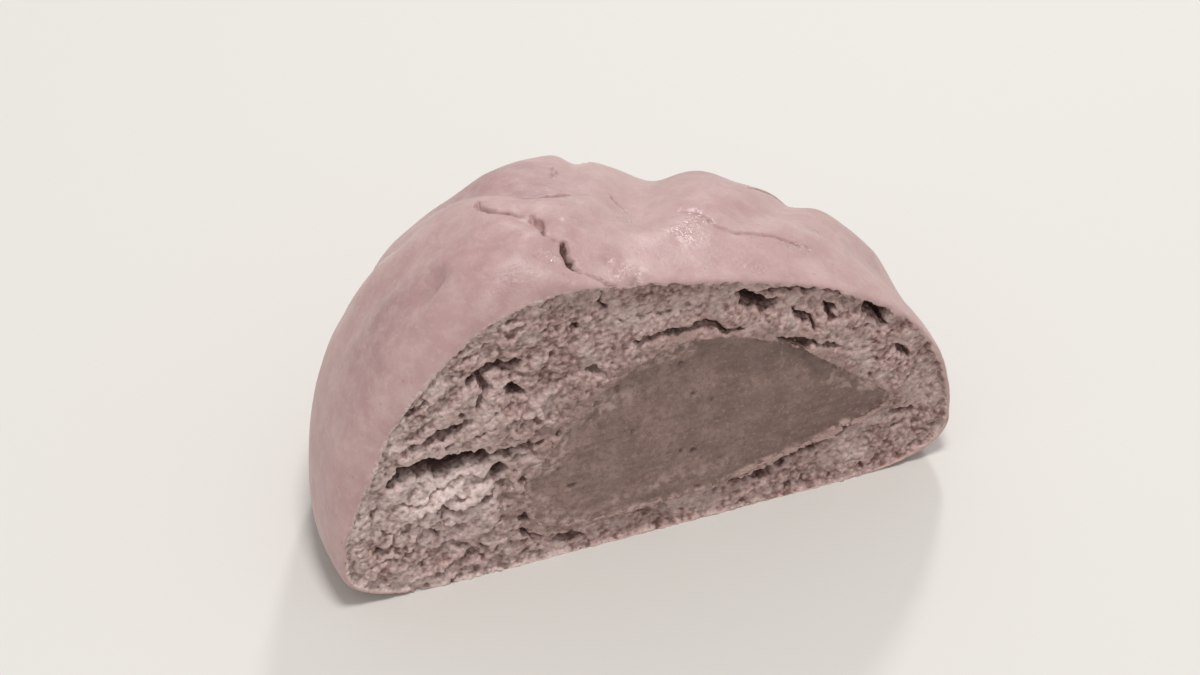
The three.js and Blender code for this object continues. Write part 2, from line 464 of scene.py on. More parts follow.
def torn_depth(flat, below, beside):
    """How far behind the cut the crumb lies, for places on it, under the skin and beside the paste."""
    x, z = flat[:, 0], flat[:, 2]
    coarse = (1 - ramp(x, *COARSE_TO)) * (1 - FINER_BY * ramp(z, *FINE_ABOVE))
    tight = TIGHTEST + LOOSENS * ramp(below, *TIGHT_UNDER)
    face = flat + sideways(flat, *WOBBLE_WIDE) + CLOSE_SHARE * sideways(flat, *WOBBLE_CLOSE)
    tilt = np.radians(LAYER_TILT - LAYER_BEND * ramp(x, *BENDS))
    along = face[:, 0] * np.cos(tilt) + face[:, 2] * np.sin(tilt)
    up = face[:, 2] * np.cos(tilt) - face[:, 0] * np.sin(tilt)
    flow = np.stack([along / DRAWN_LONG, np.zeros_like(x), up], axis=1)

    depth = TORN_BACK + waves(flat, TORN_WIDE) * tight + waves(face, TORN_CLOSE)
    layer = up / LAYER_THICK + waves(flat, LAYER_WAVES)
    step = layer - np.floor(layer) - LAYER_MIDDLE
    depth += (LAYER_LEAST + LAYER_MORE * coarse) * tight * step * ramp(hills(flow, *LAYERS_IN), *LAYERS_FROM)
    loose = (1 + ramp(hills(flat, *LOOSE_IN), *LOOSE_FROM)) / 2
    depth -= (LARGE_LEAST + LARGE_MORE * coarse) * tight * loose * lumps(flow, *LARGE_LUMPS)
    depth *= CLINGING + LETS_GO * ramp(beside, *CLINGS_TO)
    shelf = bell(np.hypot((x - SHELF_X) / SHELF_LONG, (z - SHELF_Z) / SHELF_HIGH), 1)
    depth += shelf * (SHELF_SLOPE * (z - SHELF_Z) - SHELF_JUTS)
    depth -= SMALL_HEIGHT * loose * lumps(face, *SMALL_LUMPS)
    depth += waves(face, FINE_HILLS)
    gap, chance = pores(flow, *PORES)
    open_here = (1 - ramp(gap, *PORE_WIDTH)) * (chance > PORE_CHANCE)
    depth += (PORE_LEAST + PORE_MORE * chance) * open_here * tight
    wander = waves(flat, SLIT_WAVES)
    for line, half, deep in SLITS:
        away, share = from_line(flat[:, [0, 2]], line)
        width = spindle(share, half)
        depth += SLIT_SHARE * deep * (1 - ramp(away + wander, width * SLIT_FLOOR, width * SLIT_MOUTH))
        depth += SAG * deep * bell(away, width + SAG_BESIDE)
    return np.maximum(depth, -RISES_MOST)


p = places(dough)
shift = -dent_shift(p)
on_cut = np.nonzero(p[:, 1] < CUT_Y + ON_CUT)[0]
face = p[on_cut] / MM
below = under_skin(p[on_cut]) / MM
beside = (pocket_fill(p[on_cut]) - 1) * RIM_REACH
lip = LIP * (1 + waves(face, LIP_WAVES))
inside = ramp(below, lip * LIP_TO[0], lip * LIP_TO[1])
shift[on_cut, 1] += torn_depth(face, below, beside) * inside * MM
for axis, other in ((0, 0), (2, 1)):
    torn = waves(face, [(height, size, seed + other) for height, size, seed in RAGGED])
    by_paste = waves(face, [(height, size, seed + other) for height, size, seed in RAGGED_BY_PASTE])
    shift[on_cut, axis] += (torn + by_paste * bell(beside, BY_PASTE)) * inside * MM
by_cut = np.nonzero(p[:, 1] < CUT_Y + EDGE_REACH * MM)[0]
edge = p[by_cut]
nibbled = waves(edge / MM, NIBBLED) * fade((edge[:, 1] - CUT_Y) / MM, EDGE_REACH)
nibbled *= bell(under_skin(edge) / MM, NIBBLE_DEEP) * ramp(edge[:, 2] / MM, *EDGE_FOOT)
shift[by_cut] -= outward(edge)[0] * (nibbled * MM)[:, None]
put(dough, p + shift)
even_out(dough, FINE)


WELL_IN, WELL_BEHIND, WELL_BELOW = 0.96, 0.8, 1  # where a point is sure to line the pocket


def measured(p):
    """How far points lie under the skin and behind the cut, and which ones line the pocket."""
    below = under_skin(undented(p)) / MM
    behind = (p[:, 1] - CUT_Y) / MM
    return below, behind, (pocket_fill(p) < WELL_IN) & (behind > WELL_BEHIND) & (below > WELL_BELOW)


SKIN_TO, FOOT_TO = (0.3, 0.6), (0.1, 0.4)  # between these depths and heights the smooth skin turns to crumb
DEEPEST_TEAR, EDGE_OF_CUT = 12, 2.5  # crumb shows no further behind the cut, and by its edge reaches the base
FOOT_LIFT = 6  # by the cut a point counts as this much higher
SKIN_UNDER, TORN_FROM = 0.4, 0.02  # the share of crumb under which it is smoothed, and from which it is torn
GRAINS = [(0.32, 0.9, 60), (0.26, 0.55, 70)]  # height, size and seed of its finest lumps
GRAIN_HILLS = [(0.1, 0.5, 80)]


def torn_share(height, below, behind):
    """1 in the torn crumb and 0 on the skin and the base, though the crumb reaches the base at the cut."""
    foot = ramp(height + FOOT_LIFT * (behind < EDGE_OF_CUT), *FOOT_TO)
    return ramp(below, *SKIN_TO) * (behind < DEEPEST_TEAR) * foot


p = places(dough)
below, behind, in_pocket = measured(p)
crumb = torn_share(p[:, 2] / MM, below, behind) * ~in_pocket
smooth = dough.vertex_groups.new(name="smooth")
smooth.add(np.nonzero(crumb < SKIN_UNDER)[0].tolist(), 1.0, "REPLACE")
soften = dough.modifiers.new("soften", "SMOOTH")
soften.factor = 0.5
soften.iterations = 8
soften.vertex_group = "smooth"
settle(dough)

p = places(dough)
torn = np.nonzero(crumb > TORN_FROM)[0]
grain = p[torn] / MM
rough = sum(rise * lumps(grain, size, seed) for rise, size, seed in GRAINS) + waves(grain, GRAIN_HILLS)
p[torn] += places(dough, "normal")[torn] * (rough * crumb[torn] * MM)[:, None]
p[:, 2] = np.maximum(p[:, 2], 0)
put(dough, p)

# The skin split where it was stretched over the seams, in short dark cracks with swollen lips, and folded
# into finer creases beside them.
CRACKS = [
    # points in plan, half width, depth
    ([(-19, -4), (-19.3, -6), (-18.4, -8), (-16.5, -8.7), (-15, -9.6)], 0.6, 1.4),
    ([(-15, -9.6), (-13.3, -10.8)], 0.3, 0.4),
    ([(-13.3, -10.8), (-12.6, -13.5), (-12.8, -16.4)], 0.55, 1.4),
    ([(-12.8, -16.4), (-10.4, -18)], 0.3, 0.4),
    ([(-10.4, -18), (-10.8, -20), (-11, -22), (-9.8, -23.2)], 0.75, 1.9),
    ([(-9.8, -23.2), (-7.5, -24.6), (-5, -26.6)], 0.4, 0.8),
    ([(-12, -3.8), (-8.5, -4.4), (-5, -4)], 0.75, 0.95),
    ([(-5.3, 1.3), (-4.2, 3.6), (-3.4, 6.5)], 0.45, 0.6),
    ([(2.5, -3), (4.2, -5.6)], 0.5, 0.5),
    ([(9.5, -9), (13, -11), (14.8, -14), (17, -15.2), (23, -15.8), (27.5, -17.5)], 0.5, 0.45),
    ([(3.5, 11), (5, 15), (4.6, 18.5), (6.2, 22)], 0.5, 1.3),
    ([(-19, 10), (-21, 13), (-21.5, 15.5), (-24, 18.5)], 0.45, 1.1),
    ([(25, 0), (29, 2.5), (33.5, 3.5)], 0.4, 0.7),
    ([(-31, 9), (-33.4, 10.2), (-34, 12.4), (-35.8, 13.6)], 0.35, 0.8),
]
CRACK_SPREAD = 1.25  # how much wider a crack's mouth is than its half width
CRACK_HOLLOW = 0.8  # 1 is a straight-sided groove, less is a rounder one
LIP_RISE, LIP_WIDTH = 0.1, 0.5  # the swollen lips beside a crack
JAG, JAG_SIZE, JAG_SEED = 0.4, 1.0, 90
STEPS = np.arange(0, 1, 0.1)  # shares of the way from one point of a crack to the next
TOP_FROM = 8  # below this height the skin has no cracks, shine or darker patches
MOSTLY = 0.5  # a share from which a point or face counts as crumb, or as lining the pocket
KEPT_BESIDE, KEPT_FLAKY = 0.8, 0.4  # beside cracks and where it is flaky, the skin keeps its fine faces
FLAKY_X, FLAKY_Y, FLAKY_WIDTH = -4.2, -24.4, 3.6  # the skin is flaky where the longest cracks meet the cut
FLAKES, SKIN_GRAIN = [(0.36, 1.5, 95), (0.2, 0.8, 94)], [(0.03, 2.4, 96)]


def over_skin(line):
    """A line drawn in plan, laid on the dented skin in short steps."""
    line = np.array(line, float) * MM
    steps = [a + (b - a) * t for a, b in zip(line, line[1:]) for t in STEPS]
    plan = np.array([*steps, line[-1]])
    away = plan - (MIDDLE_X, MIDDLE_Y)
    level = np.hypot(*away.T) / (RADIUS + OVAL * np.cos(2 * np.arctan2(away[:, 1], away[:, 0])))
    rise = crown_at(*plan.T) * np.maximum(1 - level**SHOULDER, 0) ** (1 / SHOULDER)
    laid = np.column_stack([plan, WAIST + rise])
    return laid - dent_shift(laid)


def beside_cracks(p):
    """For each crack: how far each point is from it, its width and its depth there."""
    jag = [hills(p / MM, JAG_SIZE, JAG_SEED + k) for k in range(3)]
    jagged = p / MM + JAG * np.stack(jag, axis=1)
    for line, half, deep in CRACKS:
        gap, share = from_line(jagged, over_skin(line) / MM)
        yield gap, CRACK_SPREAD * spindle(share, half), deep


def flaky(p):
    return bell(np.hypot(p[:, 0] / MM - FLAKY_X, p[:, 1] / MM - FLAKY_Y), FLAKY_WIDTH)


p = places(dough)
skin_only = np.nonzero((crumb < MOSTLY) & (p[:, 2] > TOP_FROM * MM) & ~in_pocket)[0]
here = p[skin_only]
near_crack = np.zeros(len(p), bool)
groove = np.zeros(len(here))
for gap, width, deep in beside_cracks(here):
    lips = LIP_RISE * min(deep, 1) * bell(gap - CRACK_SPREAD * width, LIP_WIDTH)
    groove = np.maximum(groove, deep * np.clip(1 - gap / width, 0, 1) ** CRACK_HOLLOW - lips)
    near_crack[skin_only[gap < width + KEPT_BESIDE]] = True
near_crack[skin_only[flaky(here) > KEPT_FLAKY]] = True
groove += flaky(here) * waves(here / MM, FLAKES) + waves(here / MM, SKIN_GRAIN)
p[skin_only] -= places(dough, "normal")[skin_only] * (groove * MM)[:, None]
put(dough, p)


def triangles(piece):
    piece.data.calc_loop_triangles()
    return len(piece.data.loop_triangles)


def thin_out(piece, wanted, group=""):
    """Collapses the flattest faces, inside a vertex group, until the whole piece has the wanted number."""
    fewer = piece.modifiers.new("thin out", "DECIMATE")
    fewer.vertex_group = group
    fewer.ratio = min(1, wanted / triangles(piece))
    settle(piece)


def drop_loose(piece):
    """Drops specks that hang free of the piece."""
    bm = bmesh.new()
    bm.from_mesh(piece.data)
    left, largest = set(bm.verts), set()
    while left:
        start = left.pop()
        island, newest = {start}, [start]
        while newest:
            near = {e.other_vert(v) for v in newest for e in v.link_edges} - island
            island |= near
            newest = list(near)
        left -= island
        largest = max(largest, island, key=len)
    bmesh.ops.delete(bm, geom=[v for v in bm.verts if v not in largest], context="VERTS")
    bm.to_mesh(piece.data)
    bm.free()


def round_off(piece):
    for f in piece.data.polygons:
        f.use_smooth = True


# The smooth parts need few faces and the crumb needs many, so the smooth parts are thinned out first.
SMOOTH_FACES, ALL_FACES = 50000, 192000
PLAIN_UNDER = 0.05  # the share of crumb under which the skin is plain
plain = np.nonzero(((crumb < PLAIN_UNDER) & ~near_crack) | in_pocket)[0]
smooth = dough.vertex_groups["smooth"]
smooth.remove(list(range(len(p))))
smooth.add(plain.tolist(), 1.0, "REPLACE")
thin_out(dough, triangles(dough) - 2 * len(plain) + SMOOTH_FACES, "smooth")
thin_out(dough, ALL_FACES)
drop_loose(dough)
round_off(dough)


def paint(piece, name, values):
    """Keeps a value for each point of a piece, for its material to read."""
    layer = piece.data.attributes.new(name, "FLOAT", "POINT")
    layer.data.foreach_set("value", values.astype(np.float32))


def relief(piece, rounds):
    """How far each point stands out of its surroundings, which reach further with more rounds."""
    ends = np.empty(2 * len(piece.data.edges), int)
    piece.data.edges.foreach_get("vertices", ends)
    other = ends.reshape(-1, 2)[:, ::-1].ravel()
    start = places(piece)
    count = np.bincount(ends, minlength=len(start))
    soft = start
    for _ in range(rounds):
        near = [np.bincount(ends, soft[other, k], len(start)) for k in range(3)]
        soft = np.stack(near, axis=1) / count[:, None]
    return ((start - soft) * places(piece, "normal")).sum(axis=1) / MM


def patches(plan, spots):
    """1 in the middle of any of the spots, fading out over its width."""
    return np.max([bell(np.linalg.norm(plan - place, axis=1), width) for place, width in spots], axis=0)


SHINES = [
    # place in plan, width: where the skin is drawn thin and shiny
    ((9.5, -15.5), 2.6),
    ((12.2, -12), 1.6),
    ((16.2, -23), 2.0),
    ((25.5, -17.5), 2.2),
    ((-3.5, -24.6), 2.8),
    ((-14, -20.5), 1.6),
    ((2, -9), 2.0),
    ((30, -12), 1.8),
    ((-30, 2), 3.0),
    ((16, 16), 3.0),
]
DARK_PATCHES = [
    # place in plan, width: where the skin is painted darker; on the hump, the left side and in the dimple
    # this is painted shade
    ((-13, 6), 9),
    ((-9, -1), 6),
    ((-37, -14), 8),
    ((-30, -15.6), 2.8),
    ((20, 12), 9),
    ((38, 4), 9),
]
DARK_MOST, DARK_WAVES = 0.8, [(0.5, 4, 98)]
FINE_RELIEF, BROAD_RELIEF = (8, 0.35), (70, 1.6)  # rounds, and the height that counts as standing right out; the crumb is painted lighter where it stands out and darker in its creases, as painted light and shade
HOLE_SHADE_BEHIND, HOLE_SHADE_BELOW = (1.4, 4.2), (0.4, 1.2)  # painted shade: the crumb is darkened this far behind the cut and under the skin, deep in its holes
# The paste smeared the crumb round it, widest on the thick side and a little less high up.
SMEAR_THIN, SMEAR_WIDE, SMEAR_FROM, SMEAR_UP = 2.2, 2.6, (-22, -8), (24, 34)
SMEARED, LESS_HIGH, SMEAR_WAVES = 0.95, 0.1, [(0.55, 1.6, 97)]
PALE_X, PALE_Z, PALE_LONG, PALE_HIGH = -31, 18, 10, 6  # painted light: the palest crumb, on the ledge that faces the light
LIGHT_X, LIGHT_Z, LIGHT_LONG, LIGHT_HIGH = -34, 22, 14, 18  # and paler crumb round it, painted light too
EDGE_DEEP, EDGE_LEFT = (1.5, 5), (-24, 0)  # painted light close under the skin too, on the thick side
PALE_SHARE, LIGHT_SHARE, EDGE_SHARE = 0.7, 0.35, 0.45
SHADE_REACH, FLAKE_SHADE, FLAKES_FROM = 1.2, 0.4, (0.05, 0.25)  # painted shade in the cracks and between the flakes

p = places(dough)
below, behind, in_pocket = measured(p)
mm = p / MM
# Painted light and shade: how far each point stands out, from which the crumb's tops are painted lighter and
# its creases darker.
standing = sum(relief(dough, rounds) / height for rounds, height in (FINE_RELIEF, BROAD_RELIEF))
paint(dough, "relief", np.clip(0.5 + 0.5 * standing, 0, 1))
crumb = torn_share(mm[:, 2], below, behind)
paint(dough, "crumb", crumb)
# Painted shade: the crumb is darkened deep in its holes, far behind the cut and under the skin.
paint(dough, "hollow", ramp(behind, *HOLE_SHADE_BEHIND) * ramp(below, *HOLE_SHADE_BELOW))
reach = SMEAR_THIN + SMEAR_WIDE * (1 - ramp(mm[:, 0], *SMEAR_FROM))
smeared = SMEARED - (pocket_fill(p) - 1) * RIM_REACH / reach - LESS_HIGH * ramp(mm[:, 2], *SMEAR_UP)
paint(dough, "smeared", np.clip(smeared + waves(mm, SMEAR_WAVES), 0, 1))
# Painted light: the crumb on the thick side, on its ledge and close under the skin, is painted paler.
palest = bell(np.hypot((mm[:, 0] - PALE_X) / PALE_LONG, (mm[:, 2] - PALE_Z) / PALE_HIGH), 1)
light = bell(np.hypot((mm[:, 0] - LIGHT_X) / LIGHT_LONG, (mm[:, 2] - LIGHT_Z) / LIGHT_HIGH), 1)
by_skin = (1 - ramp(below, *EDGE_DEEP)) * (1 - ramp(mm[:, 0], *EDGE_LEFT))
paint(dough, "crumb_lit", np.minimum(PALE_SHARE * palest + LIGHT_SHARE * light + EDGE_SHARE * by_skin, 1))
# Painted shade: the skin is darkened in its cracks and in the hollows between its flakes.
splits = np.zeros(len(p))
for gap, width, deep in beside_cracks(p):
    splits = np.maximum(splits, np.clip(SHADE_REACH - gap / width, 0, 1) * min(1, deep))
splits = np.maximum(splits, FLAKE_SHADE * flaky(p) * ramp(waves(mm, FLAKES), *FLAKES_FROM))
paint(dough, "split", splits)
on_top = mm[:, 2] > TOP_FROM
paint(dough, "shiny", patches(mm[:, :2], SHINES) * on_top)
# Painted shade: darker skin on the hump, the left side and in the dimple; two patches on the back are darker
# too.
darkened = DARK_MOST * patches(mm[:, :2], DARK_PATCHES) * on_top
paint(dough, "darkened", darkened * (1 + waves(mm, DARK_WAVES)))


def face_values(piece, what, width=1):
    values = np.empty(len(piece.data.polygons) * width)
    piece.data.polygons.foreach_get(what, values)
    return values.reshape(-1, width) if width > 1 else values


def corners(piece):
    """The point at each corner of each face, and how many corners each face has."""
    corner = np.empty(len(piece.data.loops), int)
    piece.data.loops.foreach_get("vertex_index", corner)
    return corner, face_values(piece, "loop_total").astype(int)


def corner_means(piece, values):
    corner, sizes = corners(piece)
    return np.add.reduceat(values[corner], np.cumsum(sizes) - sizes) / sizes


def unwrap(piece, sheets):
    """Lays each face out flat on the sheet it belongs to."""
    flat = piece.data.uv_layers.new(name="OFBake")
    corner, sizes = corners(piece)
    uv = np.zeros((len(corner), 2))
    for faces, layout in sheets:
        mine = np.repeat(faces, sizes)
        uv[mine] = layout[corner[mine]]
    flat.data.foreach_set("uv", uv.ravel())


# Its flat layout: the cut face low in the square, the skin peeled into a half disc above it, and the base in
# a corner.
MARGIN = 0.01
DISC_RADIUS, DISC_PLACE = 0.8, (0.41, 0.585)
BASE_SIZE, BASE_PLACE = 0.26, (0.73, 0.85)
BASE_WITHIN, FACING_DOWN = 0.3 * MM, -0.7
middle, facing = face_values(dough, "center", 3), face_values(dough, "normal", 3)
on_base = (middle[:, 2] < BASE_WITHIN) & (facing[:, 2] < FACING_DOWN)
inner_face = corner_means(dough, crumb) > MOSTLY
inner_face |= corner_means(dough, in_pocket.astype(float)) > MOSTLY
inner_face &= ~on_base
span = high.x - low.x
front = np.column_stack([p[:, 0] - low.x, p[:, 2]]) / span * (1 - 2 * MARGIN) + MARGIN
base = np.column_stack([p[:, 0] - low.x, p[:, 1] - low.y]) / span * BASE_SIZE + BASE_PLACE
away = p - (MIDDLE_X, CUT_Y, 0)
turn, tilt = np.arctan2(away[:, 1], away[:, 0]), np.arctan2(np.hypot(away[:, 0], away[:, 1]), away[:, 2])
peeled = np.column_stack([np.cos(turn), np.sin(turn)]) * (tilt / math.pi * DISC_RADIUS)[:, None] + DISC_PLACE
unwrap(dough, [(inner_face, front), (on_base, base), (~inner_face & ~on_base, peeled)])


def tree_of(material):
    """The material's nodes, with one that gives Object coordinates, and its shader."""
    material.use_nodes = True
    tree = material.node_tree
    tree.nodes.new("ShaderNodeTexCoord").name = "where"
    return tree, tree.nodes["Principled BSDF"]


def where(tree):
    return tree.nodes["where"].outputs["Object"]


def lead(tree, value, socket):
    """Joins another node's output to a socket, or sets the socket to a plain value."""
    if isinstance(value, bpy.types.NodeSocket):
        tree.links.new(value, socket)
    else:
        socket.default_value = value


def node(tree, kind, inputs, **settings):
    made = tree.nodes.new(kind)
    for name, value in settings.items():
        setattr(made, name, value)
    for name, value in inputs.items():
        lead(tree, value, made.inputs[name])
    return made.outputs


def mapped(tree, value, start, end, low_out, high_out):
    """A value turned into low_out where it is start and high_out where it is end."""
    limits = {"From Min": start, "From Max": end, "To Min": low_out, "To Max": high_out}
    return node(tree, "ShaderNodeMapRange", {"Value": value, **limits})["Result"]


def noise(tree, size, detail, roughness):
    inputs = {"Vector": where(tree), "Scale": 1 / (size * MM), "Detail": detail, "Roughness": roughness}
    return node(tree, "ShaderNodeTexNoise", inputs)["Fac"]


def cells(tree, size):
    """How far each place is from the middle of its random cell."""
    return node(tree, "ShaderNodeTexVoronoi", {"Vector": where(tree), "Scale": 1 / (size * MM)})["Distance"]


def cloudy(tree, size, detail, roughness, start, end, most=1):
    """A share that rises from 0 to most in soft random patches of a size in millimetres."""
    return mapped(tree, noise(tree, size, detail, roughness), start, end, 0, most)


def attribute(tree, name):
    return node(tree, "ShaderNodeAttribute", {}, attribute_name=name)["Fac"]


def mix(tree, share, under, over, kind="RGBA"):
    return node(tree, "ShaderNodeMix", {"Factor": share, "A": under, "B": over}, data_type=kind)["Result"]


def coated(tree, colour, coats):
    """A colour with others laid over it in turn, each as thick as its share."""
    for share, coat in coats:
        colour = mix(tree, share, colour, coat)
    return colour


def maths(tree, kind, *values):
    made = tree.nodes.new("ShaderNodeMath")
    made.operation = kind
    for value, socket in zip(values, made.inputs):
        lead(tree, value, socket)
    return made.outputs[0]


def bumped(tree, height, depth, strength, under=None):
    """Bumps of a depth in millimetres, over the bumps under them."""
    inputs = {"Height": height, "Distance": depth * MM, "Strength": strength}
    if under:
        inputs["Normal"] = under
    return node(tree, "ShaderNodeBump", inputs)["Normal"]


SKIN, SKIN_DEEP, SKIN_PALE = (0.52, 0.345, 0.33, 1), (0.455, 0.28, 0.275, 1), (0.60, 0.44, 0.41, 1)
# The darker skin colour is painted shade on the hump, the left side and in the dimple.
SKIN_DARKER, SKIN_BLOTCH, SKIN_PORE = (0.36, 0.215, 0.215, 1), (0.40, 0.24, 0.235, 1), (0.36, 0.20, 0.19, 1)
# The crack colour is painted shade in the cracks and between the flakes.
SKIN_FOOT, CRACK_SHADE = (0.55, 0.42, 0.36, 1), (0.19, 0.088, 0.08, 1)
# Crumb colours: the dark one is painted shade in creases and also makes some darker patches, the first is its
# lit colour, and the near-black one is painted shade deep in its holes.
CRUMB, CRUMB_DARK, CRUMB_HOLE_SHADE = (0.64, 0.455, 0.42, 1), (0.215, 0.115, 0.10, 1), (0.14, 0.072, 0.06, 1)
# The palest crumb colour is painted light on the thick side and the ledge.
CRUMB_PALE, CRUMB_LIT, CRUMB_STAIN = (0.66, 0.515, 0.475, 1), (0.85, 0.70, 0.66, 1), (0.33, 0.22, 0.19, 1)
CRUMB_MATT, SHINE_GAIN = 0.9, -0.27  # the crumb's roughness, and how much smoother the shiny skin is
GRAIN_SHARE = 0.8  # how far the grains count as standing out, for the painted light on their tops and the painted shade between them

steamed = bpy.data.materials.new("steamed dough")
tree, shader = tree_of(steamed)
is_crumb, is_shiny = attribute(tree, "crumb"), attribute(tree, "shiny")
height = node(tree, "ShaderNodeSeparateXYZ", {"Vector": where(tree)})["Z"]
skin_coats = [
    # a cloudy share has its size, detail and roughness, where it starts and ends, and how thick it gets
    (cloudy(tree, 12, 5, 0.6, 0.35, 0.65), SKIN),
    # darker patches, painted shade on the hump, the left side and in the dimple
    (attribute(tree, "darkened"), SKIN_DARKER),
    (cloudy(tree, 3.2, 5, 0.7, 0.42, 0.72, 0.55), SKIN_PALE),
    (cloudy(tree, 7, 5, 0.65, 0.52, 0.72, 0.6), SKIN_BLOTCH),
    (cloudy(tree, 0.9, 2, 0.55, 0.58, 0.75, 0.3), SKIN_PALE),
    (mapped(tree, cells(tree, 2.6), 0.05, 0.13, 0.45, 0), SKIN_PORE),
    (mapped(tree, height, 5 * MM, 0, 0, 0.7), SKIN_FOOT),
    # painted shade in the cracks and between the flakes
    (attribute(tree, "split"), CRACK_SHADE),
]
round_grains = mapped(tree, cells(tree, 0.85), 0.1, 0.75, 0.3, -0.3)
loose_grains = mapped(tree, noise(tree, 0.9, 3, 0.65), 0.3, 0.7, -0.3, 0.3)
grains = maths(tree, "ADD", round_grains, loose_grains)
# Painted light and shade: the crumb's colour runs from the dark shade colour in creases and between grains to
# its lit colour where it stands out.
lit_share = maths(tree, "MULTIPLY_ADD", grains, GRAIN_SHARE, attribute(tree, "relief"))
# painted light, most where the crumb stands out
crumb_lit = maths(tree, "MULTIPLY", attribute(tree, "crumb_lit"), mapped(tree, lit_share, 0.15, 0.75, 0.3, 1))
crumb_coats = [
    (mapped(tree, lit_share, 0.1, 0.9, 0, 1), CRUMB),
    (cloudy(tree, 4.5, 4, 0.6, 0.46, 0.66, 0.7), CRUMB_PALE),
    (cloudy(tree, 3.6, 4, 0.62, 0.52, 0.68, 0.3), CRUMB_DARK),
    (crumb_lit, CRUMB_LIT),
    (mapped(tree, attribute(tree, "smeared"), 0.3, 0.8, 0, 0.75), CRUMB_STAIN),
    # painted shade deep in the crumb's holes
    (attribute(tree, "hollow"), CRUMB_HOLE_SHADE),
]
skin, inner = coated(tree, SKIN_DEEP, skin_coats), coated(tree, CRUMB_DARK, crumb_coats)
lead(tree, mix(tree, is_crumb, skin, inner), shader.inputs["Base Color"])
satin = mapped(tree, noise(tree, 6, 3, 0.55), 0.3, 0.7, 0.33, 0.5)
glossy = maths(tree, "MULTIPLY_ADD", is_shiny, SHINE_GAIN, satin)
lead(tree, mix(tree, is_crumb, glossy, CRUMB_MATT, "FLOAT"), shader.inputs["Roughness"])
peel = bumped(tree, noise(tree, 0.7, 3, 0.6), 0.14, 0.55)
crinkled = bumped(tree, noise(tree, 1.5, 4, 0.65), 0.5, mapped(tree, is_shiny, 0, 1, 0.08, 1), peel)
lead(tree, bumped(tree, grains, 0.35, is_crumb, crinkled), shader.inputs["Normal"])
shader.inputs["Subsurface Weight"].default_value = 0.18
shader.inputs["Subsurface Scale"].default_value = 0.7 * MM
shader.inputs["Subsurface Radius"].default_value = (1, 0.5, 0.4)
dough.data.materials.clear()
dough.data.materials.append(steamed)
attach(dough, "root")
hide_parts("steamed_dough")


# ---- The paste filling ----
# A lump of dense smooth paste in the pocket. The knife smeared its cut face flat, with fine drag lines along
# the stroke and a few small pits, and crumbs stick to its edge.
SET_BACK, BEDDED = 0.7 * MM, 0.5 * MM  # how far its face lies behind the cut, and its sides sink in the crumb
PASTE_FINE = 0.35 * MM
SMUDGE, SMUDGE_WIDTH = [(-12, 5.5), (-4, 8), (4, 9.6), (13, 9.8)], 1.3  # crumbs dragged on to it along a line
SMUDGE_WAVES, SMUDGE_SHARE = [(0.8, 2, 122)], 0.5
CLEAN_UP, CLEAN_ACROSS = (20, 30), (4, 14)  # higher and further right than this its edge has few crumbs
STUCK_FROM, STUCK_HEIGHT, STUCK_LUMPS = (0.86, 1.0), 0.5, (1.1, 120)  # and elsewhere crumbs stick to it
RIM_FROM, RIM_WAVES, RIM_CLEAN = (0.84, 0.99), [(0.14, 3, 121)], 0.12
PASTE_WAVES = [(0.45, 9, 101), (0.18, 3, 104), (0.05, 0.9, 105)]
DRAG_WAVES, DRAG_LONG, DRAG_SLANT = [(0.08, 0.9, 102)], 14, 0.06
PIT_WAVES, PIT_SIZE, PIT_SEED, PIT_WIDTH = (0.5, 1.2, 106), 3.0, 110, (0.06, 0.2)
PIT_CHANCE, PITS_TO = 0.35, (4, 20)  # how many cells have no pit, and where across the face the pits end
SHRUNK_IN, SHRUNK_FILL, SHRUNK_UP = 1.5, (0.45, 1.0), (18, 32)  # it shrank from the crumb along its top edge


def smudged(mm):
    """1 along the line of crumbs that the knife dragged on to the paste."""
    return bell(from_line(mm[:, [0, 2]], SMUDGE)[0] + waves(mm, SMUDGE_WAVES), SMUDGE_WIDTH)


def clean_edge(mm):
    return ramp(mm[:, 2], *CLEAN_UP) * ramp(mm[:, 0], *CLEAN_ACROSS)


bm = moulded(POCKET_GRID, lambda v: pocket_point(v, BEDDED))
slice_off(bm, (0, CUT_Y + SET_BACK, 0), (0, -1, 0))
bmesh.ops.recalc_face_normals(bm, faces=bm.faces)
paste = new_piece("paste_filling_half", bm)
even_out(paste, PASTE_FINE)

p = places(paste)
face = np.nonzero(p[:, 1] < CUT_Y + SET_BACK + ON_CUT)[0]
mm = p[face] / MM
fill = pocket_fill(p[face])
drag = np.stack([mm[:, 0] / DRAG_LONG, np.zeros(len(mm)), mm[:, 2] - DRAG_SLANT * mm[:, 0]], axis=1)
depth = waves(mm, PASTE_WAVES) + waves(drag, DRAG_WAVES)
bent, bend_size, bend_seed = PIT_WAVES
bend = np.stack([hills(mm, bend_size, bend_seed + k) for k in range(3)], axis=1)
gap, chance = pores(mm + bent * bend, PIT_SIZE, PIT_SEED)
depth += (1 - ramp(gap, *PIT_WIDTH)) * (chance > PIT_CHANCE) * (1 - ramp(mm[:, 0], *PITS_TO))
stuck = np.maximum(ramp(fill, *STUCK_FROM) * (1 - clean_edge(mm)), smudged(mm))
depth -= STUCK_HEIGHT * stuck * (lumps(mm, *STUCK_LUMPS) + LUMP_LEVEL)
depth += SHRUNK_IN * ramp(fill, *SHRUNK_FILL) * ramp(mm[:, 2], *SHRUNK_UP)
p[face, 1] += depth * MM
put(paste, p)
round_off(paste)
mm = p / MM
rim = ramp(pocket_fill(p) + waves(mm, RIM_WAVES) - RIM_CLEAN * clean_edge(mm), *RIM_FROM)
paint(paste, "rim", np.maximum(rim, SMUDGE_SHARE * smudged(mm)))

